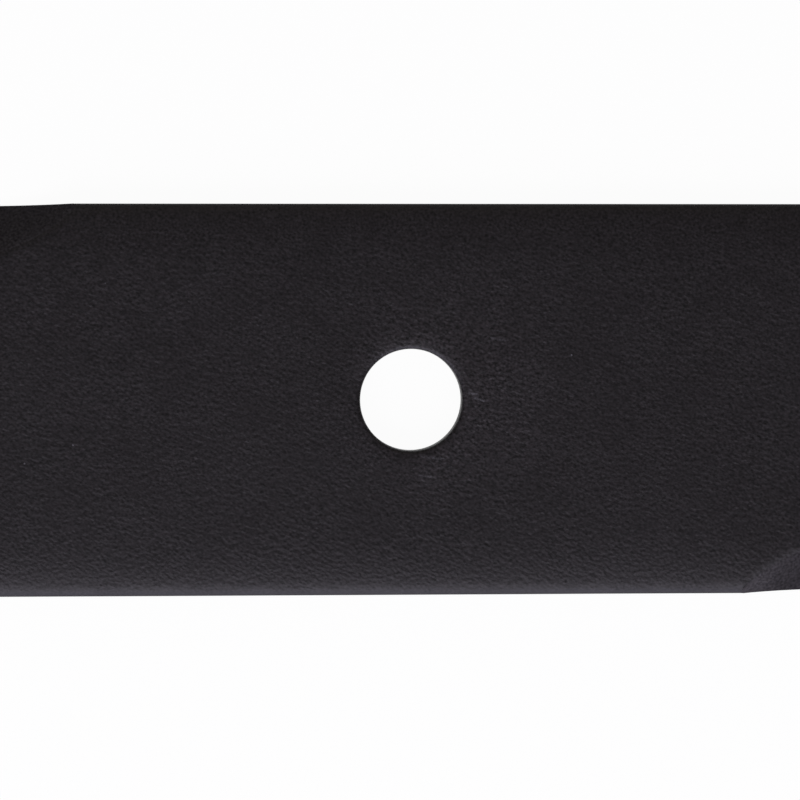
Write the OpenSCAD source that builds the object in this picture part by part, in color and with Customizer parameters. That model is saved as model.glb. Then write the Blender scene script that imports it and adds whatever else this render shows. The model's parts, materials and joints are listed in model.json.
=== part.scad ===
// Rotary mower blade: one bar of spring steel, sheared to size, punched for the spindle bolt, ground to a
// cutting edge at both ends and press-formed into a raised sail behind each edge.
// The origin is the centre of the spindle hole on the underside, +X runs along the blade and +Z points up,
// the way the sails rise. Seen from above, the blade turns clockwise.

/* [Bar] */
// Length from tip to tip
blade_len = 412.8; // [330:0.1:620]
// Width of the bar before forming
bar_w = 63.5; // [50:0.1:76.2]
// Thickness of the bar
bar_t = 5.16; // [4:0.01:6.4]

/* [Sheared edges] */
// Width of the roll-over, where the shear draws in the top of the long edges
roll_w = 1.8; // [0.8:0.05:3]
// Depth of the roll-over
roll_h = 0.7; // [0.3:0.05:1.2]
// Lean of the side below the roll-over, inwards to the underside
shear_lean = 6; // [0:0.5:12]
// Rounding along the underside
under_r = 0.4; // [0.2:0.05:0.8]
// Rounding of the edges that are cut at the tips, held to less than the roundings of the long edges
tip_r = 0.3; // [0.1:0.05:0.5]

/* [Spindle hole] */
// Diameter of the straight part of the punched hole
hole_d = 16.5; // [12:0.1:26]
// Rounding of the top rim, where the punch goes in
rim_r = 0.6; // [0.2:0.05:1.2]
// Height of the break-out, where the punch tears the steel at the underside
break_h = 1.8; // [0.4:0.05:2.6]
// How much wider the break-out is than the hole, on each side
break_w = 0.3; // [0.1:0.05:0.6]

/* [Cutting edge] */
// Length ground to full depth, measured from the tip
grind_len = 134.4; // [60:0.1:180]
// Slope of the bevel above the underside
grind_angle = 30; // [22:0.5:40]
// Height of the bevel plane above the underside, at the line of the bar's edge
grind_toe = 0.2; // [0:0.05:1]
// Radius of the cutter, which leaves the run-out at the inner end of the bevel
cutter_r = 43; // [15:0.5:60]

/* [Sail] */
// Length of the sail, from the tip to where the trailing edge starts to rise
sail_len = 114; // [90:0.5:150]
// Length over which the bend line runs in from the trailing edge
sail_run = 58; // [30:0.5:80]
// Width of steel turned up, measured along the bar at mid-thickness
sail_w = 31; // [18:0.1:36]
// Angle that the sail is turned up by
sail_angle = 44; // [15:0.5:60]
// Radius inside the bend
sail_bend_r = 10; // [5:0.1:16]

/* [Smoothness] */
// Strips across the width of the sail
sail_strips = 18; // [10:1:24]
// Steps along the run-in of the sail
sail_steps = 20; // [10:1:28]
// Facets across a roll-over
roll_facets = 5; // [3:1:8]
// Facets across the rounding of an edge underneath or at a tip
edge_facets = 3; // [2:1:5]

/* [Hidden] */
$fn = 96;

half_len = blade_len / 2;
half_t = bar_t / 2;

// The bend is laid out at mid-thickness, where the steel keeps its length
bend_mid_r = sail_bend_r + half_t;
bend_arc = bend_mid_r * sail_angle * PI / 180;
sail_begin = half_len - sail_len;

// Across the flat bar from the line of its edge, where the rounding underneath runs out into the underside
under_w = (bar_t - roll_h - under_r) * tan(shear_lean) + under_r / cos(shear_lean);
tip_round = min(tip_r, 0.75 * under_r, 0.75 * roll_h);

grind_begin = half_len - grind_len;
// What a cutting tool passes the steel by
tool_over = 2;

// Rises smoothly from 0 at u = 0 to 1 at u = 1
function ease(u) = let (v = min(max(u, 0), 1)) v * v * (3 - 2 * v);

// How far across the flat bar, from its leading edge, the bend starts at a distance x from the spindle
function bend_line(x) = bar_w - sail_w * ease((x - sail_begin) / sail_run);

// Point [y, z] of the formed bar, for the point of the flat bar that lies s across from the leading edge
// and n above mid-thickness, where the bend starts at s = bend
function formed(s, n, bend) =
    let (
        past = max(s - bend, 0),
        turn = min(past, bend_arc) / bend_mid_r * 180 / PI,
        flap = max(past - bend_arc, 0)
    )
    [
        min(s, bend) + (bend_mid_r - n) * sin(turn) + flap * cos(turn) - bar_w / 2,
        half_t + bend_mid_r - (bend_mid_r - n) * cos(turn) + flap * sin(turn)
    ];

// Lines across one face of the flat bar that ends margin inside both edges, close together on the sail
function across(margin) = [
    margin,
    for (i = [0 : sail_strips]) bar_w - sail_w + (sail_w - margin) * i / sail_strips
];

// Sheared leading edge of the flat bar, drawn in by inset, as [s, n] points from the top to the underside:
// the roll-over, and then the leaning side with its rounding underneath
function sheared_edge(inset) = concat(
    [
        for (i = [1 : roll_facets])
            let (angle = 90 * i / roll_facets)
            [roll_w - (roll_w - inset) * sin(angle), half_t - roll_h + (roll_h - inset) * cos(angle)]
    ],
    [
        for (i = [0 : edge_facets - 1])
            let (
                angle = shear_lean + (90 - shear_lean) * i / edge_facets,
                r = under_r - inset
            )
            [under_w - r * cos(angle), under_r - half_t - r * sin(angle)]
    ]
);

function reversed(points) = [for (i = [len(points) - 1 : -1 : 0]) points[i]];

// Closed outline of the bar at x, drawn in by inset, as [x, y, z] points: along the top to the trailing edge
// and back underneath
function section(x, inset = 0) =
    let (
        bend = bend_line(x),
        edge = sheared_edge(inset),
        outline = concat(
            [for (s = across(roll_w)) [s, half_t - inset]],
            [for (p = edge) [bar_w - p[0], p[1]]],
            reversed([for (s = across(under_w)) [s, inset - half_t]]),
            reversed(edge)
        )
    )
    [for (p = outline) let (yz = formed(p[0], p[1], bend)) [x, yz[0], yz[1]]];

// Every section of one half of the bar, from the spindle to the rounded cut at the tip
sections = concat(
    [section(0)],
    [for (i = [0 : sail_steps]) section(sail_begin + sail_run * i / sail_steps)],
    [
        for (i = [0 : edge_facets])
            let (angle = 90 * i / edge_facets)
            section(half_len - tip_round * (1 - sin(angle)), tip_round * (1 - cos(angle)))
    ]
);

// Triangles that close a section: a strip between its top and its underside, and a fan at each sheared edge
function section_faces() =
    let (
        face = sail_strips + 2,
        edge = roll_facets + edge_facets,
        underside = face + edge,
        leading = underside + face,
        count = leading + edge
    )
    concat(
        [
            for (i = [0 : face - 2])
                let (below = leading - 1 - i)
                each [[i, i + 1, below - 1], [i, below - 1, below]]
        ],
        [for (i = [face : underside - 1]) [face - 1, i, i + 1]],
        [for (i = [leading : count - 1]) [leading - 1, i, (i + 1) % count]]
    );

// One half of the formed bar, from the spindle's centre plane to a tip
module formed_half() {
    count = len(sections[0]);
    tip = (len(sections) - 1) * count;
    sides = [
        for (k = [0 : len(sections) - 2])
            for (i = [0 : count - 1])
                let (a = k * count + i, b = k * count + (i + 1) % count)
                each [[a, b, b + count], [a, b + count, a + count]]
    ];
    polyhedron(
        points = [for (outline = sections) each outline],
        faces = concat(
            sides,
            [for (f = section_faces()) reversed(f)],
            [for (f = section_faces()) [for (v = f) v + tip]]
        ),
        convexity = 4
    );
}

// What the punch takes out: the straight hole, the rounding of its top rim and the break-out underneath
module spindle_hole() {
    hole_r = hole_d / 2;
    rotate_extrude() {
        translate([0, -tool_over])
            square([hole_r, bar_t + 2 * tool_over]);
        difference() {
            translate([hole_r, bar_t - rim_r])
                square([rim_r, rim_r + tool_over]);
            translate([hole_r + rim_r, bar_t - rim_r])
                circle(rim_r);
        }
        polygon([
            [0, -tool_over],
            [hole_r + break_w, -tool_over],
            [hole_r + break_w, 0],
            [hole_r, break_h],
            [0, break_h]
        ]);
    }
}

// What the grinder takes off one end: all above the bevel plane, from the tip to the cutter's round run-out
module grind() {
    slope_len = bar_t / sin(grind_angle) + 2 * tool_over;
    translate([grind_begin, -bar_w / 2, grind_toe])
        rotate([grind_angle, 0, 0])
            translate([0, -tool_over, 0]) {
                cube([grind_len + tool_over, slope_len, 2 * cutter_r]);
                translate([0, 0, cutter_r])
                    rotate([-90, 0, 0])
                        cylinder(r = cutter_r, h = slope_len);
            }
}

module blade() {
    color([0.15, 0.14, 0.15])
        difference() {
            union() {
                formed_half();
                rotate([0, 0, 180])
                    formed_half();
            }
            spindle_hole();
            for (end = [0, 180])
                rotate([0, 0, end])
                    grind();
        }
}

blade();
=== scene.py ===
"""Rotary mower blade, built and dressed to be seen from all sides.

The blade is one bar of spring steel. Its blank is sheared, ground and punched here as a flat mesh, and a
tree of geometry nodes then draws the steel in around the hole and presses a sail up behind each cutting
edge. Satin black paint covers all of it.

Lengths are in metres. +X runs along the blade and +Z points up, the way the sails rise. The origin is the
centre of the spindle hole on the underside. Seen from above, the blade turns clockwise.
"""

from __future__ import annotations

import json
import logging
import math
from collections.abc import Iterable, Mapping, Sequence
from dataclasses import dataclass, field
from enum import Enum
from functools import reduce

import bmesh
import bpy
import numpy as np
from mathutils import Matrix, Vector

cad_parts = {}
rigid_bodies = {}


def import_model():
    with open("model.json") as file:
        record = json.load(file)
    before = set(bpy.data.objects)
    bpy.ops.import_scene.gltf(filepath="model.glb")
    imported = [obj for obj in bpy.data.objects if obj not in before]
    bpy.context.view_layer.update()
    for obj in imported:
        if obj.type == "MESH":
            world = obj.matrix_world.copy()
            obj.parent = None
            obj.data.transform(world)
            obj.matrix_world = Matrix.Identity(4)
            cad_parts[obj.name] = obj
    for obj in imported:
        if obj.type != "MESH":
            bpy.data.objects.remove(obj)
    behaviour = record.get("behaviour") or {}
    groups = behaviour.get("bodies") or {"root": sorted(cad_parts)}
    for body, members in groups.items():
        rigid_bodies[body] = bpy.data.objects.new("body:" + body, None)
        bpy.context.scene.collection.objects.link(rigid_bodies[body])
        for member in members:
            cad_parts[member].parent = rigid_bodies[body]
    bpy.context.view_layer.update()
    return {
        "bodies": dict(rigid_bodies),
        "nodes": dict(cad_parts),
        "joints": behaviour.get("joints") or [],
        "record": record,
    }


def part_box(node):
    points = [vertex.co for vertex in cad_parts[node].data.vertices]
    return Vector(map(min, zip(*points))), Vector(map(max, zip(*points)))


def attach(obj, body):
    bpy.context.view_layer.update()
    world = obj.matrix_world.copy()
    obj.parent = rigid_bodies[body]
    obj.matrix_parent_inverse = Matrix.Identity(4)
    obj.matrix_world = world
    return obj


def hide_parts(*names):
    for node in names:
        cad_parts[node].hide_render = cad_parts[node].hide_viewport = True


MM = 0.001
RIGHT_ANGLE = math.pi / 2
WHITE = (1.0, 1.0, 1.0, 1.0)
NOISE_MIDDLE = 0.5
CUT_MARK = "cut"
EDGE_MARK = "inside_edge"

Triple = tuple[float, float, float]

log = logging.getLogger("mower_blade")


class Surface(Enum):
    """How the steel under the paint was made."""

    ROLLED = "black_paint_on_rolled_steel"
    CUT = "black_paint_on_cut_steel"


def along(line: np.ndarray, shares: np.ndarray) -> np.ndarray:
    """Finds points along a line of straight stretches.

    Args:
        line: The line's own points, one to a row.
        shares: Where the points are wanted, as shares of the line's length from 0 to 1.

    Returns:
        The points, one to a row.
    """
    steps = np.linalg.norm(np.diff(line, axis=0), axis=1)
    reach = np.concatenate(([0.0], np.cumsum(steps)))
    return np.column_stack([np.interp(shares * reach[-1], reach, column) for column in line.T])


def crowded_at_end(count: int, power: float) -> np.ndarray:
    """Shares from 0 to 1 for a number of steps, closer together towards 1."""
    return 1.0 - (1.0 - np.linspace(0.0, 1.0, count + 1)) ** power


def crowded_at_start(count: int, power: float) -> np.ndarray:
    """Shares from 0 to 1 for a number of steps, closer together towards 0."""
    return np.linspace(0.0, 1.0, count + 1) ** power


def crowded_at_both(count: int, power: float) -> np.ndarray:
    """Shares from 0 to 1, closer together towards both.

    Args:
        count: Number of steps.
        power: How much they crowd. 1 leaves them even.

    Returns:
        The shares, one more than there are steps.
    """
    shares = np.linspace(0.0, 1.0, count + 1)
    rising = shares ** power
    return rising / (rising + (1.0 - shares) ** power)


def into_scene(name: str, data: bpy.types.ID) -> bpy.types.Object:
    """Makes an object and puts it into the scene.

    Args:
        name: Name of the object.
        data: Its mesh, light or camera.

    Returns:
        The object, at the origin.
    """
    made = bpy.data.objects.new(name, data)
    bpy.context.scene.collection.objects.link(made)
    return made


class NodeGraph:
    """Puts nodes into a tree and links them."""

    def __init__(self, tree: bpy.types.NodeTree) -> None:
        """Works on the tree as it is."""
        self.tree = tree

    @classmethod
    def emptied(cls, owner: bpy.types.Material | bpy.types.World) -> NodeGraph:
        """Clears the tree of a material or a world.

        Args:
            owner: The material or the world.

        Returns:
            The graph of its empty tree.
        """
        owner.use_nodes = True
        owner.node_tree.nodes.clear()
        return cls(owner.node_tree)

    def declare(self, names: Iterable[str], kind: str, in_out: str = "INPUT") -> None:
        """Gives the tree sockets of one kind.

        Args:
            names: Names of the sockets.
            kind: What they carry, such as Float.
            in_out: Whether they are inputs or outputs.
        """
        for name in names:
            self.tree.interface.new_socket(name, in_out=in_out, socket_type=f"NodeSocket{kind}")

    def add(
        self, kind: str, inputs: Mapping[str | int, object] | None = None, **settings: object
    ) -> bpy.types.Node:
        """Adds one node.

        Args:
            kind: Blender's name for the node.
            inputs: What feeds its sockets, by their names or numbers: plain values, sockets or fields.
            settings: Values of the node's own properties.

        Returns:
            The new node.
        """
        node = self.tree.nodes.new(kind)
        for name, setting in settings.items():
            setattr(node, name, setting)
        for key, value in (inputs or {}).items():
            self.feed(node.inputs[key], value)
        return node

    def feed(self, socket: bpy.types.NodeSocket, value: object) -> None:
        """Links a field or a socket to an input.

        Args:
            socket: The input.
            value: What feeds it. A plain value is set on the input itself.
        """
        source = value.socket if isinstance(value, Field) else value
        if isinstance(source, bpy.types.NodeSocket):
            self.tree.links.new(source, socket)
        else:
            socket.default_value = source

    def math(self, operation: str, *values: object) -> Field:
        """Adds a Math node and gives its result."""
        node = self.add("ShaderNodeMath", dict(enumerate(values)), operation=operation)
        return Field(self, node.outputs[0])

    def vector(self, operation: str, inputs: Mapping[str | int, object]) -> bpy.types.NodeSocket:
        """Adds a Vector Math node and gives the vector that it makes."""
        return self.add("ShaderNodeVectorMath", inputs, operation=operation).outputs["Vector"]

    def measure(self, operation: str, *vectors: object) -> Field:
        """Adds a Vector Math node and gives the number that it makes."""
        node = self.add("ShaderNodeVectorMath", dict(enumerate(vectors)), operation=operation)
        return Field(self, node.outputs["Value"])

    def parts(self, vector: object) -> tuple[Field, ...]:
        """Splits a vector into x, y and z."""
        outputs = self.add("ShaderNodeSeparateXYZ", {"Vector": vector}).outputs
        return tuple(Field(self, part) for part in outputs)

    def noise(self, place: object, size: object, **inputs: object) -> Field:
        """Adds smooth noise.

        Args:
            place: Position that it is read at.
            size: Size of its swells.
            inputs: What feeds its other sockets, by their names.

        Returns:
            Its level, from 0 to 1.
        """
        node = self.add("ShaderNodeTexNoise", {"Vector": place, "Scale": 1.0 / size, **inputs})
        return Field(self, node.outputs[0])

    def mix(self, share: object, one: bpy.types.NodeSocket, other: Sequence[float]) -> bpy.types.NodeSocket:
        """Mixes two colours.

        Args:
            share: Share of the second colour.
            one: First colour.
            other: Second colour.

        Returns:
            The mixed colour.
        """
        # The node has sockets of the same names for numbers and vectors, so the colours go by number
        first, second, result = 6, 7, 2
        inputs = {"Factor": share, first: one, second: (*other, 1.0)}
        return self.add("ShaderNodeMix", inputs, data_type="RGBA").outputs[result]


@dataclass(frozen=True)
class Field:
    """A number that changes over a surface, worked out by nodes."""

    graph: NodeGraph
    socket: bpy.types.NodeSocket

    def __add__(self, other: object) -> Field:
        """Sum."""
        return self.graph.math("ADD", self, other)

    def __sub__(self, other: object) -> Field:
        """Difference."""
        return self.graph.math("SUBTRACT", self, other)

    def __rsub__(self, other: object) -> Field:
        """Difference from a plain number."""
        return self.graph.math("SUBTRACT", other, self)

    def __mul__(self, other: object) -> Field:
        """Product."""
        return self.graph.math("MULTIPLY", self, other)

    def __truediv__(self, other: object) -> Field:
        """Quotient."""
        return self.graph.math("DIVIDE", self, other)

    def __rtruediv__(self, other: object) -> Field:
        """Quotient of a plain number."""
        return self.graph.math("DIVIDE", other, self)

    def least(self, other: object) -> Field:
        """The smaller of two."""
        return self.graph.math("MINIMUM", self, other)

    def most(self, other: object) -> Field:
        """The larger of two."""
        return self.graph.math("MAXIMUM", self, other)

    def ramp(self, start: object, end: object, low: object = 0.0, high: object = 1.0) -> Field:
        """Turns the field smoothly from one level to another.

        Args:
            start: Where the field is still at the low level.
            end: Where it has come to the high level.
            low: Level at the start.
            high: Level at the end.

        Returns:
            The new field, held at its two levels outside the ramp.
        """
        inputs = {"Value": self, "From Min": start, "From Max": end, "To Min": low, "To Max": high}
        node = self.graph.add("ShaderNodeMapRange", inputs, interpolation_type="SMOOTHSTEP")
        return Field(self.graph, node.outputs["Result"])


class MeshDraft:
    """Points and faces of a mesh while it is laid out."""

    def __init__(self) -> None:
        """Starts empty."""
        self.points: list[np.ndarray] = []
        self.faces: list[tuple[int, ...]] = []
        self.cut: list[bool] = []

    def add_points(self, points: np.ndarray) -> np.ndarray:
        """Adds points.

        Args:
            points: The points, one to a row.

        Returns:
            Their numbers.
        """
        start = len(self.points)
        self.points.extend(points)
        return np.arange(start, len(self.points))

    def add_face(self, corners: Iterable[int], cut: bool) -> None:
        """Adds one face, and whether its steel was cut."""
        self.faces.append(tuple(int(corner) for corner in corners))
        self.cut.append(cut)

    def bridge(self, one: np.ndarray, other: np.ndarray) -> None:
        """Joins two closed loops of points with a band of four-sided faces.

        Args:
            one: Numbers of the points of the first loop.
            other: Numbers of the points of the second loop, as many.
        """
        for corners in zip(one, np.roll(one, -1), np.roll(other, -1), other):
            self.add_face(corners, cut=False)

    def to_mesh(self, name: str) -> bpy.types.Mesh:
        """Makes the mesh, with its faces turned outwards and a mark on those that were cut.

        Args:
            name: Name of the mesh.

        Returns:
            The mesh.
        """
        mesh = bpy.data.meshes.new(name)
        mesh.from_pydata([point.tolist() for point in self.points], [], self.faces)
        mark = mesh.attributes.new(CUT_MARK, "BOOLEAN", "FACE")
        mark.data.foreach_set("value", self.cut)
        work = bmesh.new()
        work.from_mesh(mesh)
        unused = [point for point in work.verts if not point.link_faces]
        bmesh.ops.delete(work, geom=unused, context="VERTS")
        bmesh.ops.recalc_face_normals(work, faces=work.faces)
        work.to_mesh(mesh)
        work.free()
        mesh.shade_smooth()
        return mesh


@dataclass(frozen=True)
class ShearedEdge:
    """Long edge that the shear leaves: a roll-over on top, a leaning side and a rounding underneath."""

    roll_width: float = 1.8 * MM
    roll_depth: float = 0.7 * MM
    # Wide shallow fall of the top face towards the edge, steeper with a higher power
    draw_in_width: float = 20.0 * MM
    draw_in_depth: float = 0.84 * MM
    draw_in_power: float = 5.5
    # How far in from the edge the paint's grain comes to its full strength
    smooth_width: float = 0.8 * MM
    # Lean of the side below the roll-over, inwards to the underside
    lean: float = math.radians(6.0)
    under_radius: float = 0.4 * MM
    tip_radius: float = 0.3 * MM

    def foot(self, thickness: float) -> float:
        """How far in from the line of the edge the rounding underneath ends."""
        side = (thickness - self.roll_depth - self.under_radius) * math.tan(self.lean)
        return side + self.under_radius / math.cos(self.lean)


@dataclass(frozen=True)
class GroundBevel:
    """Cutting edge that is ground into the top of the leading edge, out to the tip."""

    length: float = 134.4 * MM
    slope: float = math.radians(30.0)
    # Height of the bevel's plane over the underside, at the line of the edge
    toe: float = 0.2 * MM
    cutter_radius: float = 43.0 * MM
    # Most that the rounding reaches from where the bevel meets the top face
    crease_width: float = 1.2 * MM

    def lift(self, short: float) -> float:
        """How far the round cutter stands off the bevel's plane, at a distance short of its full depth."""
        reach = min(max(short, 0.0), self.cutter_radius)
        return self.cutter_radius - math.sqrt(self.cutter_radius ** 2 - reach ** 2)

    def run_out(self, lift: float) -> float:
        """Distance short of the full depth at which the cutter stands off by a height."""
        return math.sqrt(self.cutter_radius ** 2 - (self.cutter_radius - lift) ** 2)

    def above(self, point: Sequence[float]) -> float:
        """Height of a point (in from the edge, up) over the bevel's plane, square to the plane."""
        return (point[1] - self.toe) * math.cos(self.slope) - point[0] * math.sin(self.slope)

    def eased(self, line: np.ndarray, crease: np.ndarray, width: float) -> np.ndarray:
        """Rounds a line off where it runs into the crease at the top of the bevel.

        The rounding is a parabola, which lies a quarter of its rise below the crease.

        Args:
            line: Points (in from the edge, up), one to a row.
            crease: Where the bevel and the face meet.
            width: How far the rounding may reach from the crease.

        Returns:
            The points, lowered near the crease.
        """
        reach = min(width, self.crease_width)
        away = np.linalg.norm(line - crease, axis=1)
        share = np.clip(1.0 - away / reach, 0.0, 1.0)
        lowered = line.copy()
        lowered[:, 1] -= math.tan(self.slope) * reach / 4 * share ** 2
        return lowered


@dataclass(frozen=True)
class SpindleHole:
    """Punched hole, with the rim that the punch draws in and the break-out underneath."""

    radius: float
    rim_radius: float = 0.6 * MM
    break_height: float = 1.8 * MM
    break_width: float = 0.3 * MM
    # Fall of the top face towards the hole, steeper with a higher power
    draw_in_width: float = 3.6 * MM
    draw_in_depth: float = 0.25 * MM
    draw_in_power: float = 3.5
    # Faces down the rim, the wall and the break-out, and how much they crowd
    rim_steps: int = 8
    wall_steps: int = 6
    break_steps: int = 6
    crowding: float = 2.0

    def outline(self, thickness: float) -> np.ndarray:
        """Outline of the hole, from the top face to the underside.

        Args:
            thickness: Thickness of the bar.

        Returns:
            Points (radius, z) of the rim, the wall and the break-out, one to a row.
        """
        turn = np.linspace(0.0, RIGHT_ANGLE, self.rim_steps + 1)
        rim = np.column_stack((
            self.radius + self.rim_radius * (1.0 - np.sin(turn)),
            thickness - self.rim_radius * (1.0 - np.cos(turn)),
        ))
        wall_end = np.array([self.radius, self.break_height])
        mouth = np.array([self.radius + self.break_width, 0.0])
        wall_shares = crowded_at_both(self.wall_steps, self.crowding)[1:]
        torn_shares = crowded_at_both(self.break_steps, self.crowding)[1:]
        wall = rim[-1] + np.outer(wall_shares, wall_end - rim[-1])
        torn = wall_end + np.outer(torn_shares, mouth - wall_end)
        return np.vstack((rim, wall, torn))


@dataclass(frozen=True)
class Sail:
    """Lift sail that the press turns up behind a cutting edge."""

    # From the tip to where the trailing edge starts to rise
    length: float = 114.0 * MM
    # Length over which the bend line runs in from the trailing edge
    run: float = 58.0 * MM
    # Width of steel turned up, measured along the bar at mid-thickness
    width: float = 31.0 * MM
    angle: float = math.radians(44.0)
    bend_radius: float = 10.0 * MM


@dataclass(frozen=True)
class Ring:
    """Outline across the bar at x, as the numbers of its points in a mesh."""

    x: float
    points: np.ndarray


@dataclass(frozen=True)
class BarBlank:
    """Flat bar before the press: sheared, ground at both ends and punched."""

    half_length: float
    thickness: float
    hole: SpindleHole
    width: float = 63.5 * MM
    edge: ShearedEdge = ShearedEdge()
    bevel: GroundBevel = GroundBevel()
    sail: Sail = Sail()
    # How far in from the line of an edge its own outline ends and the middle row begins
    margin: float = 12.0 * MM
    # Half the length that is left open for the faces round the hole
    patch: float = 20.0 * MM
    # Half the angle of the bevel's band where nothing is ground
    start_turn: float = math.radians(6.0)
    # Step in from the rounding of a tip to the faces that close it
    tip_rim: float = 0.05 * MM
    # Faces across each part of an outline
    row_steps: int = 40
    face_steps: int = 12
    bevel_steps: int = 14
    side_steps: int = 6
    round_steps: int = 4
    foot_steps: int = 6
    # Points that a rounding is first laid out with
    curve_steps: int = 24
    # Bands of faces between the open place's rim and the hole
    spoke_steps: int = 12
    # Outlines along each stretch of one half of the bar
    hole_stations: int = 20
    plain_stations: int = 14
    run_out_stations: int = 28
    press_stations: int = 58
    flap_stations: int = 18
    # Outlines whose places agree to this many decimals are one
    station_decimals: int = 8
    # How much the faces crowd where the shape turns
    crowding: float = 2.0
    face_crowding: float = 1.8

    @property
    def grind_begin(self) -> float:
        """Distance from the spindle at which the bevel comes to its full depth."""
        return self.half_length - self.bevel.length

    @property
    def sail_begin(self) -> float:
        """Distance from the spindle at which the trailing edge starts to rise."""
        return self.half_length - self.sail.length

    @property
    def row_end(self) -> float:
        """Half the width of the middle row of faces, between the two edges."""
        return self.width / 2 - self.margin

    @property
    def edge_steps(self) -> int:
        """Faces round one long edge, between the middle rows on the top and the underside."""
        return self.face_steps + self.bevel_steps + self.side_steps + self.round_steps + self.foot_steps

    @property
    def far_under(self) -> int:
        """Place in an outline of the middle row's end at +Y, underneath."""
        return self.row_steps + self.edge_steps

    @property
    def near_under(self) -> int:
        """Place in an outline of the middle row's end at -Y, underneath."""
        return self.far_under + self.row_steps

    @property
    def roll_centre(self) -> np.ndarray:
        """Centre of the roll-over, as (in from the edge, up)."""
        return np.array([self.edge.roll_width, self.thickness - self.edge.roll_depth])

    @property
    def first_touch(self) -> float:
        """Distance from the spindle at which the cutter first touches the roll-over."""
        _, reach = self.crown(0.0)
        return self.grind_begin - self.bevel.run_out(self.bevel.above(self.roll_centre) + reach)

    def roll_over(self, turn: np.ndarray, inset: float) -> np.ndarray:
        """Points of the roll-over.

        Args:
            turn: Angles round it, from 0 at the top face to a right angle at the side.
            inset: How far the outline is drawn in.

        Returns:
            Points (in from the edge, up), one to a row.
        """
        wide = self.edge.roll_width - inset
        deep = self.edge.roll_depth - inset
        return np.column_stack((
            self.edge.roll_width - wide * np.sin(turn),
            self.thickness - self.edge.roll_depth + deep * np.cos(turn),
        ))

    def under_round(self, turn: np.ndarray, inset: float) -> np.ndarray:
        """Points of the rounding underneath.

        Args:
            turn: Angles round it, from the lean of the side to a right angle at the underside.
            inset: How far the outline is drawn in.

        Returns:
            Points (in from the edge, up), one to a row.
        """
        radius = self.edge.under_radius - inset
        return np.column_stack((
            self.edge.foot(self.thickness) - radius * np.cos(turn),
            self.edge.under_radius - radius * np.sin(turn),
        ))

    def crown(self, inset: float) -> tuple[float, float]:
        """Where the roll-over stands highest over the bevel's plane.

        Args:
            inset: How far the outline is drawn in.

        Returns:
            The angle round the roll-over, and how much higher it is there than its own centre.
        """
        across = (self.edge.roll_width - inset) * math.sin(self.bevel.slope)
        upward = (self.edge.roll_depth - inset) * math.cos(self.bevel.slope)
        return math.atan2(across, upward), math.hypot(across, upward)

    def edge_outline(self, x: float, inset: float, ground: bool) -> np.ndarray:
        """Outline of one long edge, from the middle row on top to the middle row underneath.

        The outline has a band of its own for the bevel. Where nothing is ground, the band is a narrow
        strip of the roll-over, about the place where the cutter would touch it.

        Args:
            x: Distance from the spindle.
            inset: How far the outline is drawn in.
            ground: Whether this is the leading edge.

        Returns:
            Points (in from the edge, up), one to a row.
        """
        top = self.thickness - inset
        lift = self.bevel.lift(self.grind_begin - x) - max(inset - self.edge.tip_radius, 0.0)
        crown, reach = self.crown(inset)
        depth = self.bevel.above(self.roll_centre) + reach - lift
        spread = self.start_turn
        if ground and depth > 0.0:
            spread = max(spread, math.acos(max(1.0 - depth / reach, -1.0)))

        inner = np.array([self.margin, top])
        foot = self.under_round(np.array([self.edge.lean]), inset)[0]
        if crown - spread > 0.0:
            turn = np.linspace(0.0, crown - spread, self.curve_steps)
            face_line = np.vstack((inner, self.roll_over(turn, inset)))
        else:
            rise = self.bevel.above((0.0, top)) - lift
            face_line = np.array([inner, [rise / math.sin(self.bevel.slope), top]])
        if crown + spread < RIGHT_ANGLE:
            turn = np.linspace(crown + spread, RIGHT_ANGLE, self.curve_steps)
            side_line = np.vstack((self.roll_over(turn, inset), foot))
        else:
            shoulder = self.roll_over(np.array([RIGHT_ANGLE]), inset)[0]
            over = self.bevel.above(shoulder) - lift
            under = self.bevel.above(foot) - lift
            side_line = np.array([shoulder + (foot - shoulder) * over / (over - under), foot])

        face = along(face_line, crowded_at_end(self.face_steps, self.face_crowding))
        side = along(side_line, crowded_at_start(self.side_steps, self.crowding))
        bevel_shares = crowded_at_both(self.bevel_steps, self.crowding)
        bevel = face[-1] + np.outer(bevel_shares, side[0] - face[-1])
        if ground and depth > 0.0:
            crease = face[-1].copy()
            width = np.linalg.norm(side[0] - crease) / 2
            face = self.bevel.eased(face, crease, width)
            bevel = self.bevel.eased(bevel, crease, width)
        turn = np.linspace(self.edge.lean, RIGHT_ANGLE, self.round_steps + 1)
        rounding = self.under_round(turn, inset)
        flat = np.array([rounding[-1], [self.margin, inset]])
        underside = along(flat, np.linspace(0.0, 1.0, self.foot_steps + 1))
        return np.vstack((face, bevel[1:], side[1:], rounding[1:], underside[1:]))

    def section(self, x: float, inset: float) -> np.ndarray:
        """Closed outline across the bar, along the top towards +Y and back underneath.

        Args:
            x: Place along the bar. The leading edge is at -Y for x above 0, and at +Y for x below 0.
            inset: How far the outline is drawn in.

        Returns:
            Points (x, y, z), one to a row.
        """
        near = self.edge_outline(abs(x), inset, ground=x > 0.0)
        far = self.edge_outline(abs(x), inset, ground=x < 0.0)
        row = np.linspace(-self.row_end, self.row_end, self.row_steps + 1)
        half = self.width / 2
        outline = np.vstack((
            np.column_stack((row, np.full_like(row, self.thickness - inset))),
            np.column_stack((half - far[1:, 0], far[1:, 1])),
            np.column_stack((row[-2:0:-1], np.full(self.row_steps - 1, inset))),
            np.column_stack((near[:0:-1, 0] - half, near[:0:-1, 1])),
        ))
        return np.column_stack((np.full(len(outline), x), outline))

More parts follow.
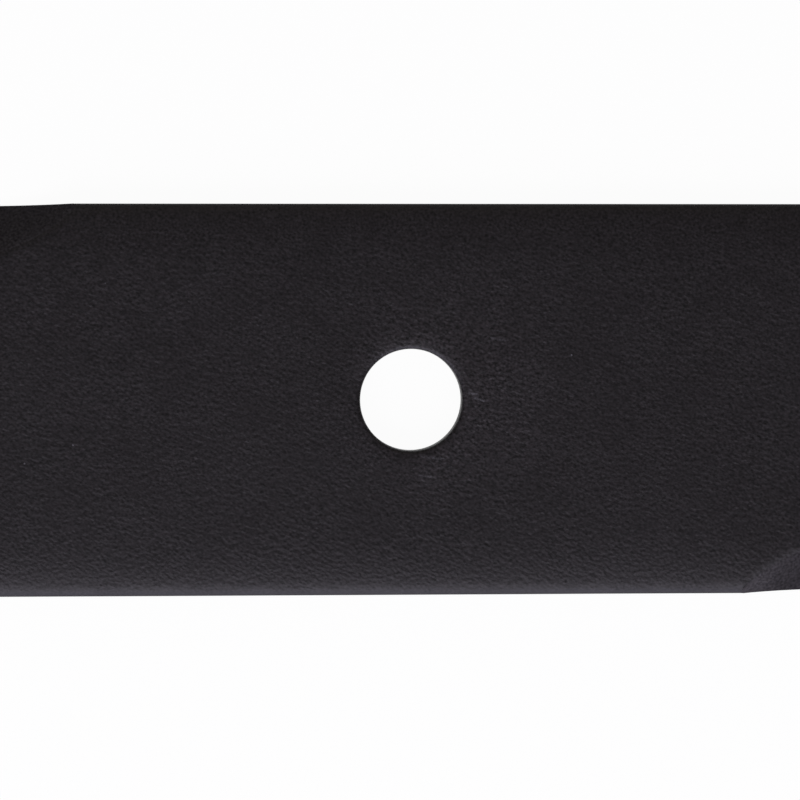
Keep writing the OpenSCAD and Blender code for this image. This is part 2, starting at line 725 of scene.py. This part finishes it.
    def stations(self) -> list[tuple[float, float]]:
        """Places along the bar at which its outline is laid out, close together where its shape changes.

        Returns:
            Pairs of the place along the bar and the inset of the outline there, from tip to tip.
        """
        touch = self.first_touch
        sail_end = self.sail_begin + self.sail.run
        tip_begin = self.half_length - self.edge.tip_radius
        run_out = crowded_at_start(self.run_out_stations, self.crowding)
        stretches = (
            np.linspace(0.0, self.patch, self.hole_stations + 1),
            np.linspace(self.patch, touch, self.plain_stations + 1),
            touch + (self.grind_begin - touch) * run_out,
            np.linspace(self.sail_begin, sail_end, self.press_stations + 1),
            np.linspace(sail_end, tip_begin, self.flap_stations + 1),
        )
        places = sorted(set(np.round(np.concatenate(stretches), self.station_decimals)))
        half = [(float(x), 0.0) for x in places]
        for turn in np.linspace(0.0, RIGHT_ANGLE, self.round_steps + 1)[1:]:
            x = self.half_length - self.edge.tip_radius * (1.0 - math.sin(turn))
            half.append((x, self.edge.tip_radius * (1.0 - math.cos(turn))))
        half.append((self.half_length, self.edge.tip_radius + self.tip_rim))
        return [(-x, inset) for x, inset in half[:0:-1]] + half

    def was_cut(self, step: int, ground: bool) -> bool:
        """Whether a face of a long edge was cut, and not only rolled.

        Args:
            step: Number of the face, from the middle row on top.
            ground: Whether the bevel is there.

        Returns:
            True for the bevel, the sheared side and the rounding under it.
        """
        side_begin = self.face_steps + self.bevel_steps
        side_end = side_begin + self.side_steps + self.round_steps
        first = self.face_steps if ground else side_begin + 1
        return first <= step < side_end

    def build(self) -> bpy.types.Mesh:
        """Lays the whole blank out.

        Returns:
            The blank, as one closed mesh.
        """
        draft = MeshDraft()
        rings = [Ring(x, draft.add_points(self.section(x, inset))) for x, inset in self.stations()]
        self.skin(draft, rings)
        self.punch(draft, rings)
        self.close_tip(draft, rings[0].points)
        self.close_tip(draft, rings[-1].points)
        return draft.to_mesh("bar_blank")

    def skin(self, draft: MeshDraft, rings: Sequence[Ring]) -> None:
        """Joins the outlines along the bar, and leaves the place of the hole open.

        Args:
            draft: Mesh that the faces go into.
            rings: The outlines, towards +X.
        """
        count = len(rings[0].points)
        touch = self.first_touch
        for ring, following in zip(rings, rings[1:]):
            middle = (ring.x + following.x) / 2
            for i in range(count):
                in_row = i < self.row_steps or self.far_under <= i < self.near_under
                if in_row and abs(middle) < self.patch:
                    continue
                if in_row:
                    cut = False
                elif i < self.far_under:
                    cut = self.was_cut(i - self.row_steps, middle < -touch)
                else:
                    cut = self.was_cut(count - 1 - i, middle > touch)
                j = (i + 1) % count
                one, other = ring.points, following.points
                draft.add_face((one[i], one[j], other[j], other[i]), cut)

    def punch(self, draft: MeshDraft, rings: Sequence[Ring]) -> None:
        """Fills the open place round the hole, from the top face through the hole to the underside.

        Args:
            draft: Mesh that the faces go into.
            rings: The outlines, towards +X.
        """
        slack = MM / 2
        inside = [ring.points for ring in rings if abs(ring.x) < self.patch + slack]
        top = self.rim_of_patch(inside, 0, self.row_steps)
        under = self.rim_of_patch(inside, self.near_under, self.far_under)
        corners = np.array([draft.points[i] for i in top])
        below = np.array([draft.points[i] for i in under])
        angle = np.arctan2(corners[:, 1], corners[:, 0])
        around = np.column_stack((np.cos(angle), np.sin(angle)))

        outline = self.hole.outline(self.thickness)
        bored = [
            np.column_stack((around * radius, np.full(len(around), z)))
            for radius, z in outline
        ]
        shares = crowded_at_end(self.spoke_steps, self.face_crowding)[1:-1]
        inwards = [corners + (bored[0] - corners) * share for share in shares]
        outwards = [bored[-1] + (below - bored[-1]) * share for share in 1.0 - shares[::-1]]

        last = top
        for points in (*inwards, *bored, *outwards):
            loop = draft.add_points(points)
            draft.bridge(last, loop)
            last = loop
        draft.bridge(last, under)

    def rim_of_patch(self, inside: Sequence[np.ndarray], near: int, far: int) -> np.ndarray:
        """Closed loop of points round the open place of the hole, on one face of the bar.

        Args:
            inside: Numbers of the points of each outline over the open place, towards +X.
            near: Where an outline has its point at -Y, on this face.
            far: Where it has its point at +Y.

        Returns:
            Numbers of the loop's points, from -Y at the +X side round towards +Y.
        """
        step = 1 if far > near else -1
        rows = np.arange(near, far + step, step)
        towards_minus_x = [loop[far] for loop in inside[-2:0:-1]]
        towards_plus_x = [loop[near] for loop in inside[1:-1]]
        return np.concatenate((inside[-1][rows], towards_minus_x, inside[0][rows[::-1]], towards_plus_x))

    def close_tip(self, draft: MeshDraft, loop: np.ndarray) -> None:
        """Closes the end of the bar inside its last outline.

        Args:
            draft: Mesh that the faces go into.
            loop: Numbers of the last outline's points.
        """
        for i in range(self.row_steps):
            j = self.near_under - i
            draft.add_face((loop[i], loop[i + 1], loop[j - 1], loop[j]), cut=True)
        draft.add_face(loop[self.row_steps:self.far_under + 1], cut=True)
        draft.add_face((*loop[self.near_under:], loop[0]), cut=True)


@dataclass(frozen=True)
class Press:
    """Press that shapes the blank: a tree of geometry nodes with the press's sizes as its inputs."""

    blank: BarBlank
    wave_size: float = 20.0 * MM
    wave_height: float = 0.30 * MM
    # Heights, as shares of the thickness, between which the top face's fall dies away
    still_share: float = 0.1
    moved_share: float = 0.85
    seed: int = 7

    def sizes(self) -> dict[str, float]:
        """Sizes that the tree takes.

        Returns:
            The sizes, by the names of the tree's inputs.
        """
        blank, edge, hole, sail = self.blank, self.blank.edge, self.blank.hole, self.blank.sail
        return {
            "Bar Width": blank.width,
            "Bar Thickness": blank.thickness,
            "Sail Begin": blank.sail_begin,
            "Sail Run": sail.run,
            "Sail Width": sail.width,
            "Sail Angle": sail.angle,
            "Bend Radius": sail.bend_radius,
            "Hole Radius": hole.radius,
            "Hole Draw-in Width": hole.draw_in_width,
            "Hole Draw-in Depth": hole.draw_in_depth,
            "Hole Draw-in Power": hole.draw_in_power,
            "Edge Draw-in Width": edge.draw_in_width,
            "Edge Draw-in Depth": edge.draw_in_depth,
            "Edge Draw-in Power": edge.draw_in_power,
            "Edge Smooth Width": edge.smooth_width,
            "Wave Size": self.wave_size,
            "Wave Height": self.wave_height,
            "Seed": float(self.seed),
        }

    def tree(self, paints: Mapping[Surface, bpy.types.Material]) -> bpy.types.NodeTree:
        """Builds the tree.

        Args:
            paints: Paint of each kind of surface.

        Returns:
            The tree, which takes the flat blank and puts out the pressed bar with its paint.
        """
        graph = NodeGraph(bpy.data.node_groups.new("sail_press", "GeometryNodeTree"))
        graph.declare(["Blank"], "Geometry")
        graph.declare(self.sizes(), "Float")
        graph.declare([surface.value for surface in paints], "Material")
        graph.declare(["Pressed Bar"], "Geometry", "OUTPUT")

        given = graph.add("NodeGroupInput").outputs
        size = {name: Field(graph, given[name]) for name in self.sizes()}
        position = graph.add("GeometryNodeInputPosition").outputs["Position"]
        inside = self.from_edge(graph, size, position).ramp(0.0, size["Edge Smooth Width"])
        marked = graph.add("GeometryNodeStoreNamedAttribute", {
            "Geometry": given["Blank"],
            "Name": EDGE_MARK,
            "Value": inside,
        }, data_type="FLOAT", domain="POINT")
        moved = graph.add("GeometryNodeSetPosition", {
            "Geometry": marked.outputs["Geometry"],
            "Position": self.pressed(graph, size, position),
        })
        whole = graph.add("GeometryNodeRealizeInstances", {"Geometry": moved.outputs["Geometry"]})
        painted = graph.add("GeometryNodeSetMaterial", {
            "Geometry": whole.outputs["Geometry"],
            "Material": given[Surface.ROLLED.value],
        })
        mark = graph.add("GeometryNodeInputNamedAttribute", {"Name": CUT_MARK}, data_type="BOOLEAN")
        painted = graph.add("GeometryNodeSetMaterial", {
            "Geometry": painted.outputs["Geometry"],
            "Selection": mark.outputs["Attribute"],
            "Material": given[Surface.CUT.value],
        })
        graph.add("NodeGroupOutput", {"Pressed Bar": painted.outputs["Geometry"]})
        return graph.tree

    @staticmethod
    def from_edge(graph: NodeGraph, size: Mapping[str, Field], position: bpy.types.NodeSocket) -> Field:
        """How far a position on the flat blank is in from the nearer long edge."""
        _, y, _ = graph.parts(position)
        return size["Bar Width"] / 2.0 - graph.math("ABSOLUTE", y)

    def pressed(
        self, graph: NodeGraph, size: Mapping[str, Field], position: bpy.types.NodeSocket
    ) -> bpy.types.NodeSocket:
        """Works out where each point of the flat blank comes to lie.

        The bend starts on a line that runs in from the trailing edge. Past it the steel follows an arc at
        mid-thickness and then stays straight. Both ends are the same, half a turn apart.

        Args:
            graph: Graph of the tree.
            size: The tree's inputs.
            position: Position on the flat blank.

        Returns:
            The new position.
        """
        x, y, z = graph.parts(position)
        thick = size["Bar Thickness"]
        half_thick = thick / 2.0
        half_width = size["Bar Width"] / 2.0
        share = z.ramp(thick * self.still_share, thick * self.moved_share)
        height = z - self.sunk(graph, size, position) * share - half_thick

        distance = graph.math("ABSOLUTE", x)
        end = 1.0 - graph.math("LESS_THAN", x, 0.0) * 2.0
        across = y * end + half_width
        sail_end = size["Sail Begin"] + size["Sail Run"]
        inner = size["Bar Width"] - size["Sail Width"]
        bend = distance.ramp(size["Sail Begin"], sail_end, size["Bar Width"], inner)
        mid_radius = size["Bend Radius"] + half_thick
        arc = mid_radius * size["Sail Angle"]
        past = (across - bend).most(0.0)
        turn = past.least(arc) / mid_radius
        flap = (past - arc).most(0.0)
        sine, cosine = graph.math("SINE", turn), graph.math("COSINE", turn)
        new_across = across.least(bend) + (mid_radius - height) * sine + flap * cosine
        new_height = half_thick + mid_radius - (mid_radius - height) * cosine + flap * sine
        new_y = (new_across - half_width) * end
        return graph.add("ShaderNodeCombineXYZ", {"X": x, "Y": new_y, "Z": new_height}).outputs["Vector"]

    def sunk(self, graph: NodeGraph, size: Mapping[str, Field], position: bpy.types.NodeSocket) -> Field:
        """How far the top face lies under its true plane.

        The punch and the shear draw it in, and it is a little wavy.

        Args:
            graph: Graph of the tree.
            size: The tree's inputs.
            position: Position on the flat blank.

        Returns:
            The depth.
        """
        flat = graph.vector("MULTIPLY", {0: position, 1: (1.0, 1.0, 0.0)})
        from_hole = graph.measure("LENGTH", flat) - size["Hole Radius"]
        from_edge = self.from_edge(graph, size, position)
        wave = graph.add("ShaderNodeTexNoise", {
            "Vector": position,
            "W": size["Seed"],
            "Scale": 1.0 / size["Wave Size"],
            "Detail": 0.0,
        }, noise_dimensions="4D")
        depth = (Field(graph, wave.outputs[0]) - NOISE_MIDDLE) * size["Wave Height"]
        for name, away in (("Hole", from_hole), ("Edge", from_edge)):
            near = (1.0 - away / size[f"{name} Draw-in Width"]).most(0.0)
            shape = graph.math("POWER", near, size[f"{name} Draw-in Power"])
            depth = depth + shape * size[f"{name} Draw-in Depth"]
        return depth

    def form(self, paints: Mapping[Surface, bpy.types.Material]) -> bpy.types.Object:
        """Presses the blank and paints it.

        Args:
            paints: Paint of each kind of surface.

        Returns:
            The finished blade, as a plain mesh at the origin.
        """
        piece = into_scene("pressed_blade", self.blank.build())
        press = piece.modifiers.new("sail_press", "NODES")
        press.node_group = self.tree(paints)
        values = self.sizes() | {surface.value: paint for surface, paint in paints.items()}
        for socket in press.node_group.interface.items_tree:
            if socket.name in values:
                press[socket.identifier] = values[socket.name]
        graph = bpy.context.evaluated_depsgraph_get()
        mesh = bpy.data.meshes.new_from_object(
            piece.evaluated_get(graph), preserve_all_data_layers=True, depsgraph=graph
        )
        piece.modifiers.remove(press)
        piece.data = mesh
        mesh.name = piece.name
        return piece


@dataclass(frozen=True)
class Scuff:
    """Short light stroke where something rubbed the paint, as (x, y) places on the top face."""

    start: tuple[float, float]
    end: tuple[float, float]
    strength: float = 0.4


@dataclass
class PaintEffects:
    """Effects that both paints share, as shader node groups."""

    # The wrinkles are a little longer in one direction
    grain_turn: float = math.radians(-22.0)
    grain_stretch: float = 1.25
    grain_detail: float = 0.8
    grain_roughness: float = 0.4
    # Levels of the noise between which a calm patch turns into a strong one
    patch_detail: float = 1.0
    patch_low: float = 0.35
    patch_high: float = 0.65
    # Where a speck starts to fade and where it ends, as shares of the specks' spacing
    speck_core: float = 0.03
    speck_rim: float = 0.07
    # Heights, as shares of the top face's, between which the scuffs come in
    top_low: float = 0.8
    top_high: float = 0.9
    # Levels of the noise that breaks the scuffs up
    torn_low: float = 0.35
    torn_high: float = 0.6
    scuff_width: float = 0.28 * MM
    scuffs_at: tuple[Scuff, ...] = (
        Scuff((9.4 * MM, 1.1 * MM), (10.7 * MM, 0.9 * MM), 0.7),
        Scuff((10.3 * MM, 0.3 * MM), (11.8 * MM, -0.2 * MM), 0.7),
        Scuff((12.9 * MM, 10.1 * MM), (15.2 * MM, 9.6 * MM)),
        Scuff((1.6 * MM, -9.2 * MM), (5.2 * MM, -9.6 * MM)),
        Scuff((1.3 * MM, -12.2 * MM), (3.2 * MM, -12.5 * MM)),
    )
    grain: bpy.types.NodeTree = field(init=False)
    specks: bpy.types.NodeTree = field(init=False)
    scuffs: bpy.types.NodeTree = field(init=False)

    def __post_init__(self) -> None:
        """Builds each group once."""
        self.grain = self.build_grain()
        self.specks = self.build_specks()
        self.scuffs = self.build_scuffs()

    @staticmethod
    def start(
        name: str, inputs: Sequence[str], outputs: Sequence[str]
    ) -> tuple[NodeGraph, dict[str, Field]]:
        """Starts a node group that takes a position and some numbers, and puts out numbers.

        Args:
            name: Name of the group.
            inputs: Names of the numbers that it takes.
            outputs: Names of the numbers that it puts out.

        Returns:
            The group's graph, and its inputs by name.
        """
        graph = NodeGraph(bpy.data.node_groups.new(name, "ShaderNodeTree"))
        graph.declare(["Position"], "Vector")
        graph.declare(inputs, "Float")
        graph.declare(outputs, "Float", "OUTPUT")
        given = graph.add("NodeGroupInput").outputs
        return graph, {label: Field(graph, given[label]) for label in ("Position", *inputs)}

    def build_grain(self) -> bpy.types.NodeTree:
        """Wrinkled grain, stronger in some patches and calmer in others, with painted shade in its pits.

        Returns:
            The group.
        """
        numbers = ("Grain Size", "Patch Size", "Calm", "Strength", "Pit Size", "Pit Shading")
        graph, given = self.start("paint_grain", numbers, ("Height", "Patch", "Light"))
        place = given["Position"]
        drawn_out = graph.add("ShaderNodeMapping", {
            "Vector": place,
            "Rotation": (0.0, 0.0, self.grain_turn),
            "Scale": (self.grain_stretch, 1.0, 1.0),
        }, vector_type="TEXTURE").outputs["Vector"]
        broad = graph.noise(place, given["Patch Size"], Detail=self.patch_detail)
        fine = graph.noise(
            drawn_out, given["Grain Size"], Detail=self.grain_detail, Roughness=self.grain_roughness
        )
        pits = graph.noise(place, given["Pit Size"], Detail=0.0)
        patch = broad.ramp(self.patch_low, self.patch_high)
        strength = patch.ramp(0.0, 1.0, given["Calm"], 1.0)
        height = (fine - NOISE_MIDDLE) * strength * given["Strength"]
        # The pits' noise darkens and lightens the paint's colour: painted shade in the pits
        shade = (pits - NOISE_MIDDLE) * strength * given["Strength"]
        light = (shade * given["Pit Shading"] + 1.0).most(0.0)
        graph.add("NodeGroupOutput", {"Height": height, "Patch": patch, "Light": light})
        return graph.tree

    def build_specks(self) -> bpy.types.NodeTree:
        """Sparse tiny specks of lighter colour in the paint.

        Returns:
            The group.
        """
        graph, given = self.start("paint_specks", ("Spacing", "Share"), ("Mask",))
        cells = graph.add("ShaderNodeTexVoronoi", {
            "Vector": given["Position"],
            "Scale": 1.0 / given["Spacing"],
        }).outputs
        draw = graph.add("ShaderNodeSeparateColor", {"Color": cells["Color"]})
        chosen = graph.math("LESS_THAN", draw.outputs["Red"], given["Share"])
        dot = Field(graph, cells["Distance"]).ramp(self.speck_core, self.speck_rim, 1.0, 0.0)
        graph.add("NodeGroupOutput", {"Mask": dot * chosen})
        return graph.tree

    def build_scuffs(self) -> bpy.types.NodeTree:
        """Scuffs round the hole, where a hub was set down on the top face.

        Returns:
            The group.
        """
        graph, given = self.start("paint_scuffs", ("Top Face",), ("Mask",))
        x, y, z = graph.parts(given["Position"])
        on_top = z.ramp(given["Top Face"] * self.top_low, given["Top Face"] * self.top_high)
        place = graph.add("ShaderNodeCombineXYZ", {"X": x, "Y": y}).outputs["Vector"]
        strokes = [self.stroke(graph, place, scuff) for scuff in self.scuffs_at]
        torn = graph.noise(place, self.scuff_width).ramp(self.torn_low, self.torn_high)
        graph.add("NodeGroupOutput", {"Mask": reduce(Field.most, strokes) * torn * on_top})
        return graph.tree

    def stroke(self, graph: NodeGraph, place: bpy.types.NodeSocket, scuff: Scuff) -> Field:
        """Mask of one scuff.

        Args:
            graph: Graph of the group.
            place: Position, with its height left out.
            scuff: The scuff.

        Returns:
            The scuff's strength along its stroke, and 0 from its width on.
        """
        start = Vector((*scuff.start, 0.0))
        stroke = Vector((*scuff.end, 0.0)) - start
        from_start = graph.vector("SUBTRACT", {0: place, 1: start})
        share = graph.measure("DOT_PRODUCT", from_start, stroke / stroke.length_squared)
        nearest = graph.vector("SCALE", {0: stroke, "Scale": share.most(0.0).least(1.0)})
        gap = graph.measure("DISTANCE", from_start, nearest)
        return gap.ramp(0.0, self.scuff_width, scuff.strength, 0.0)


@dataclass(frozen=True)
class BlackPaint:
    """Satin black paint, with the wrinkled grain that it dries to."""

    surface: Surface
    top_face: float
    body: Triple = (0.0090, 0.0078, 0.0084)
    speck: Triple = (0.10, 0.10, 0.11)
    sheen: float = 0.30
    gloss_low: float = 0.46
    gloss_high: float = 0.50
    grain_size: float = 0.55 * MM
    grain_depth: float = 0.096 * MM
    pit_size: float = 0.407 * MM
    # How strongly the pits' painted shade darkens the colour
    pit_shading: float = 3.0
    # Strength of the grain at the very edge, and in the calmest patches
    edge_grain: float = 0.1
    calm: float = 0.80
    patch_size: float = 6.0 * MM
    # Round the hole: stronger grain where the punch strained the steel, and the colour lightened there as a
    # painted pool of light
    strained_at: Triple = (6.5 * MM, 1.5 * MM, 0.0)
    strained_near: float = 8.0 * MM
    strained_far: float = 22.5 * MM
    strained_grain: float = 0.25
    painted_light_round_hole: float = 0.34
    # Painted highlight along the bevel's crease, by the depth below the top face
    painted_crease_light: float = 0.0
    crease_near: float = 0.9 * MM
    crease_far: float = 3.2 * MM
    # Painted highlight where the bevel runs out, by the place along the blade
    run_out_at: float = 0.0
    painted_run_out_light: float = 0.0
    run_out_before: float = 3.0 * MM
    run_out_after: float = 8.5 * MM
    speck_spacing: float = 2.6 * MM
    speck_share: float = 0.05

    def painted_bevel_light(self, graph: NodeGraph, place: bpy.types.NodeSocket) -> Field:
        """How much the paint's colour is lightened along the bevel's crease and at its run-out: a painted
        highlight.

        Args:
            graph: Graph of the material.
            place: Position on the blade.

        Returns:
            What the paint's colour is multiplied by.
        """
        x, _, z = graph.parts(place)
        below = self.top_face - z
        crease = below.ramp(self.crease_near, self.crease_far, 1.0 + self.painted_crease_light, 1.0)
        past = x - self.run_out_at
        run_out_lit = past.ramp(-self.run_out_before, 0.0) * past.ramp(0.0, self.run_out_after, 1.0, 0.0)
        return crease * (run_out_lit * self.painted_run_out_light + 1.0)

    def build(self, effects: PaintEffects) -> bpy.types.Material:
        """Makes the material.

        Args:
            effects: Node groups that the paints share.

        Returns:
            The material.
        """
        paint = bpy.data.materials.new(self.surface.value)
        graph = NodeGraph.emptied(paint)
        place = graph.add("ShaderNodeTexCoord").outputs["Object"]
        away = graph.measure("DISTANCE", place, self.strained_at)
        # Mask round the hole for the stronger grain and for the painted pool of light
        grain_and_light_patch = away.ramp(self.strained_near, self.strained_far, 1.0, 0.0)
        inside = Field(graph, graph.add("ShaderNodeAttribute", attribute_name=EDGE_MARK).outputs["Fac"])
        at_edge = inside.ramp(0.0, 1.0, self.edge_grain, 1.0)
        grain = graph.add("ShaderNodeGroup", {
            "Position": place,
            "Grain Size": self.grain_size,
            "Patch Size": self.patch_size,
            "Calm": self.calm,
            "Strength": (grain_and_light_patch * self.strained_grain + 1.0) * at_edge,
            "Pit Size": self.pit_size,
            "Pit Shading": self.pit_shading,
        }, node_tree=effects.grain).outputs
        specks = graph.add("ShaderNodeGroup", {
            "Position": place,
            "Spacing": self.speck_spacing,
            "Share": self.speck_share,
        }, node_tree=effects.specks).outputs
        scuffs = graph.add("ShaderNodeGroup", {
            "Position": place,
            "Top Face": self.top_face,
        }, node_tree=effects.scuffs).outputs

        # Painted light: the colour is lightened round the hole, on top of the pits' painted shade
        light = Field(graph, grain["Light"]) * (grain_and_light_patch * self.painted_light_round_hole + 1.0)
        # Painted highlights along the bevel's crease and where it runs out
        if self.painted_crease_light:
            light = light * self.painted_bevel_light(graph, place)
        shaded = graph.vector("SCALE", {0: self.body, "Scale": light})
        bright = Field(graph, specks["Mask"]).most(Field(graph, scuffs["Mask"]))
        bump = graph.add("ShaderNodeBump", {
            "Height": grain["Height"],
            "Distance": self.grain_depth,
            "Strength": 1.0,
        })
        shader = graph.add("ShaderNodeBsdfPrincipled", {
            "Base Color": graph.mix(bright, shaded, self.speck),
            "Specular IOR Level": self.sheen,
            "Roughness": Field(graph, grain["Patch"]).ramp(0.0, 1.0, self.gloss_low, self.gloss_high),
            "Normal": bump.outputs["Normal"],
        })
        graph.add("ShaderNodeOutputMaterial", {"Surface": shader.outputs["BSDF"]})
        return paint


@dataclass(frozen=True)
class MowerBlade:
    """The whole blade: the bar, its press and its paint."""

    blank: BarBlank

    @classmethod
    def from_frame(cls, frame: Mapping[str, object]) -> MowerBlade:
        """Takes the blade's length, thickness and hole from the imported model.

        Args:
            frame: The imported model.

        Returns:
            The blade.
        """
        low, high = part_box("blade")
        mounts = {mount["name"]: mount for mount in frame["record"]["mounts"]}
        hole = SpindleHole(radius=mounts["spindle_bore"]["dims"]["r_mm"] * MM)
        thickness = mounts["hub_face"]["pos_m"][2] - mounts["underside"]["pos_m"][2]
        return cls(BarBlank((high[0] - low[0]) / 2, thickness, hole))

    def build(self) -> bpy.types.Object:
        """Makes the blade and ties it to the frame.

        Returns:
            The finished piece.
        """
        effects = PaintEffects()
        finishes = (
            BlackPaint(Surface.ROLLED, self.blank.thickness),
            BlackPaint(
                Surface.CUT,
                self.blank.thickness,
                body=(0.0270, 0.0255, 0.0264),
                sheen=0.01,
                pit_shading=1.35,
                # Painted highlights along the bevel's crease and where the bevel at +X runs out
                painted_crease_light=0.16,
                run_out_at=self.blank.first_touch,
                painted_run_out_light=0.62,
            ),
        )
        paints = {finish.surface: finish.build(effects) for finish in finishes}
        piece = Press(self.blank).form(paints)
        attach(piece, "root")
        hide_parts("blade")
        return piece


@dataclass(frozen=True)
class PaleFloor:
    """Wide white floor that the blade lies on."""

    half_side: float = 6.0
    drop: float = 0.02 * MM
    colour: Triple = (0.86, 0.86, 0.86)
    roughness: float = 0.9
    # Share of even white in what the camera sees of the floor
    glow: float = 0.96

    def build(self) -> bpy.types.Object:
        """Makes the floor.

        Returns:
            The floor.
        """
        side = self.half_side
        corners = [(-side, -side), (side, -side), (side, side), (-side, side)]
        mesh = bpy.data.meshes.new("floor")
        mesh.from_pydata([(x, y, -self.drop) for x, y in corners], [], [(0, 1, 2, 3)])
        mesh.materials.append(self.material())
        floor = into_scene("floor", mesh)
        return floor

    def material(self) -> bpy.types.Material:
        """White that the camera sees almost evenly, and that still takes the blade's shadow.

        Returns:
            The material.
        """
        white = bpy.data.materials.new("white_floor")
        graph = NodeGraph.emptied(white)
        path = graph.add("ShaderNodeLightPath").outputs
        rays = ("Is Camera Ray", "Is Glossy Ray", "Is Transmission Ray")
        seen = reduce(Field.most, [Field(graph, path[name]) for name in rays])
        matt = graph.add("ShaderNodeBsdfPrincipled", {
            "Base Color": (*self.colour, 1.0),
            "Roughness": self.roughness,
        })
        even = graph.add("ShaderNodeEmission", {"Color": WHITE, "Strength": 1.0})
        mixed = graph.add("ShaderNodeMixShader", {
            0: seen * self.glow,
            1: matt.outputs["BSDF"],
            2: even.outputs["Emission"],
        })
        graph.add("ShaderNodeOutputMaterial", {"Surface": mixed.outputs["Shader"]})
        return white


@dataclass(frozen=True)
class Softbox:
    """Flat soft light, aimed at the middle of the blade."""

    name: str
    place: Triple
    size: tuple[float, float]
    power: float
    colour: Triple

    def build(self) -> bpy.types.Object:
        """Makes the light, which the camera doesn't see.

        Returns:
            The light.
        """
        data = bpy.data.lights.new(self.name, "AREA")
        data.shape = "RECTANGLE"
        data.size, data.size_y = self.size
        data.energy = self.power
        data.color = self.colour
        light = into_scene(self.name, data)
        light.location = self.place
        light.rotation_mode = "QUATERNION"
        light.rotation_quaternion = (-Vector(self.place)).to_track_quat("-Z", "Y")
        light.visible_camera = False
        return light


@dataclass(frozen=True)
class Studio:
    """Dim room round the blade, with a high and a low soft light in front of it and a weak one behind."""

    room: Triple = (0.147, 0.136, 0.137)
    lights: tuple[Softbox, ...] = (
        Softbox(
            "front_light",
            place=(-0.09, -0.655, 0.78),
            size=(1.26, 0.56),
            power=7.95,
            colour=(0.92, 0.875, 0.985),
        ),
        Softbox(
            "low_light",
            place=(-0.10, -0.56, 0.19),
            size=(1.00, 0.37),
            power=3.5,
            colour=(0.80, 0.78, 1.0),
        ),
        Softbox(
            "back_fill",
            place=(-0.05, 0.52, 0.50),
            size=(1.00, 0.50),
            power=0.60,
            colour=(1.0, 0.90, 0.85),
        ),
    )

    def build(self) -> None:
        """Makes the lights and the world."""
        for light in self.lights:
            light.build()
        world = bpy.data.worlds.new("room")
        graph = NodeGraph.emptied(world)
        dim = graph.add("ShaderNodeBackground", {"Color": (*self.room, 1.0), "Strength": 1.0})
        white = graph.add("ShaderNodeBackground", {"Color": WHITE, "Strength": 1.0})
        mixed = graph.add("ShaderNodeMixShader", {
            0: graph.add("ShaderNodeLightPath").outputs["Is Camera Ray"],
            1: dim.outputs["Background"],
            2: white.outputs["Background"],
        })
        graph.add("ShaderNodeOutputWorld", {"Surface": mixed.outputs["Shader"]})
        bpy.context.scene.world = world


@dataclass(frozen=True)
class TopCamera:
    """Camera that looks down on the middle of the blade, from a little to the left and the far side."""

    top_face: float
    distance: float = 0.60
    clip_start: float = 6.0 * MM
    from_left: float = math.radians(3.3)
    from_far: float = math.radians(2.2)
    image_side: int = 800
    # Side of a pixel on the blade, and where the centre of the hole falls in the picture
    pixel: float = 0.16177 * MM
    hole_pixel: tuple[float, float] = (411.3, 400.1)
    sensor: float = 36.0

    def build(self) -> bpy.types.Object:
        """Makes the camera and gives it to the scene.

        Returns:
            The camera.
        """
        data = bpy.data.cameras.new("top_camera")
        data.sensor_width = self.sensor
        data.lens = self.sensor * self.distance / (self.image_side * self.pixel)
        data.clip_start = self.clip_start
        camera = into_scene("top_camera", data)
        middle = self.image_side / 2
        aim = Vector((
            (middle - self.hole_pixel[0]) * self.pixel,
            (self.hole_pixel[1] - middle) * self.pixel,
            self.top_face,
        ))
        camera.rotation_euler = (-self.from_far, -self.from_left, 0.0)
        back = camera.rotation_euler.to_matrix() @ Vector((0.0, 0.0, 1.0))
        camera.location = aim + back * self.distance
        bpy.context.scene.camera = camera
        return camera


def main() -> None:
    """Builds the blade on its frame, and then the floor, the light and the camera."""
    logging.basicConfig(level=logging.INFO, format="%(name)s: %(message)s")
    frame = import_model()
    blade = MowerBlade.from_frame(frame)
    piece = blade.build()
    log.info("%s: %d points, %d faces", piece.name, len(piece.data.vertices), len(piece.data.polygons))
    floor = PaleFloor().build()
    log.info("%s: %.1f m across", floor.name, floor.dimensions.x)
    Studio().build()
    camera = TopCamera(blade.blank.thickness).build()
    log.info("%s: %.0f mm lens", camera.name, camera.data.lens)
    bpy.context.scene.view_settings.view_transform = "Standard"


if __name__ == "__main__":
    main()
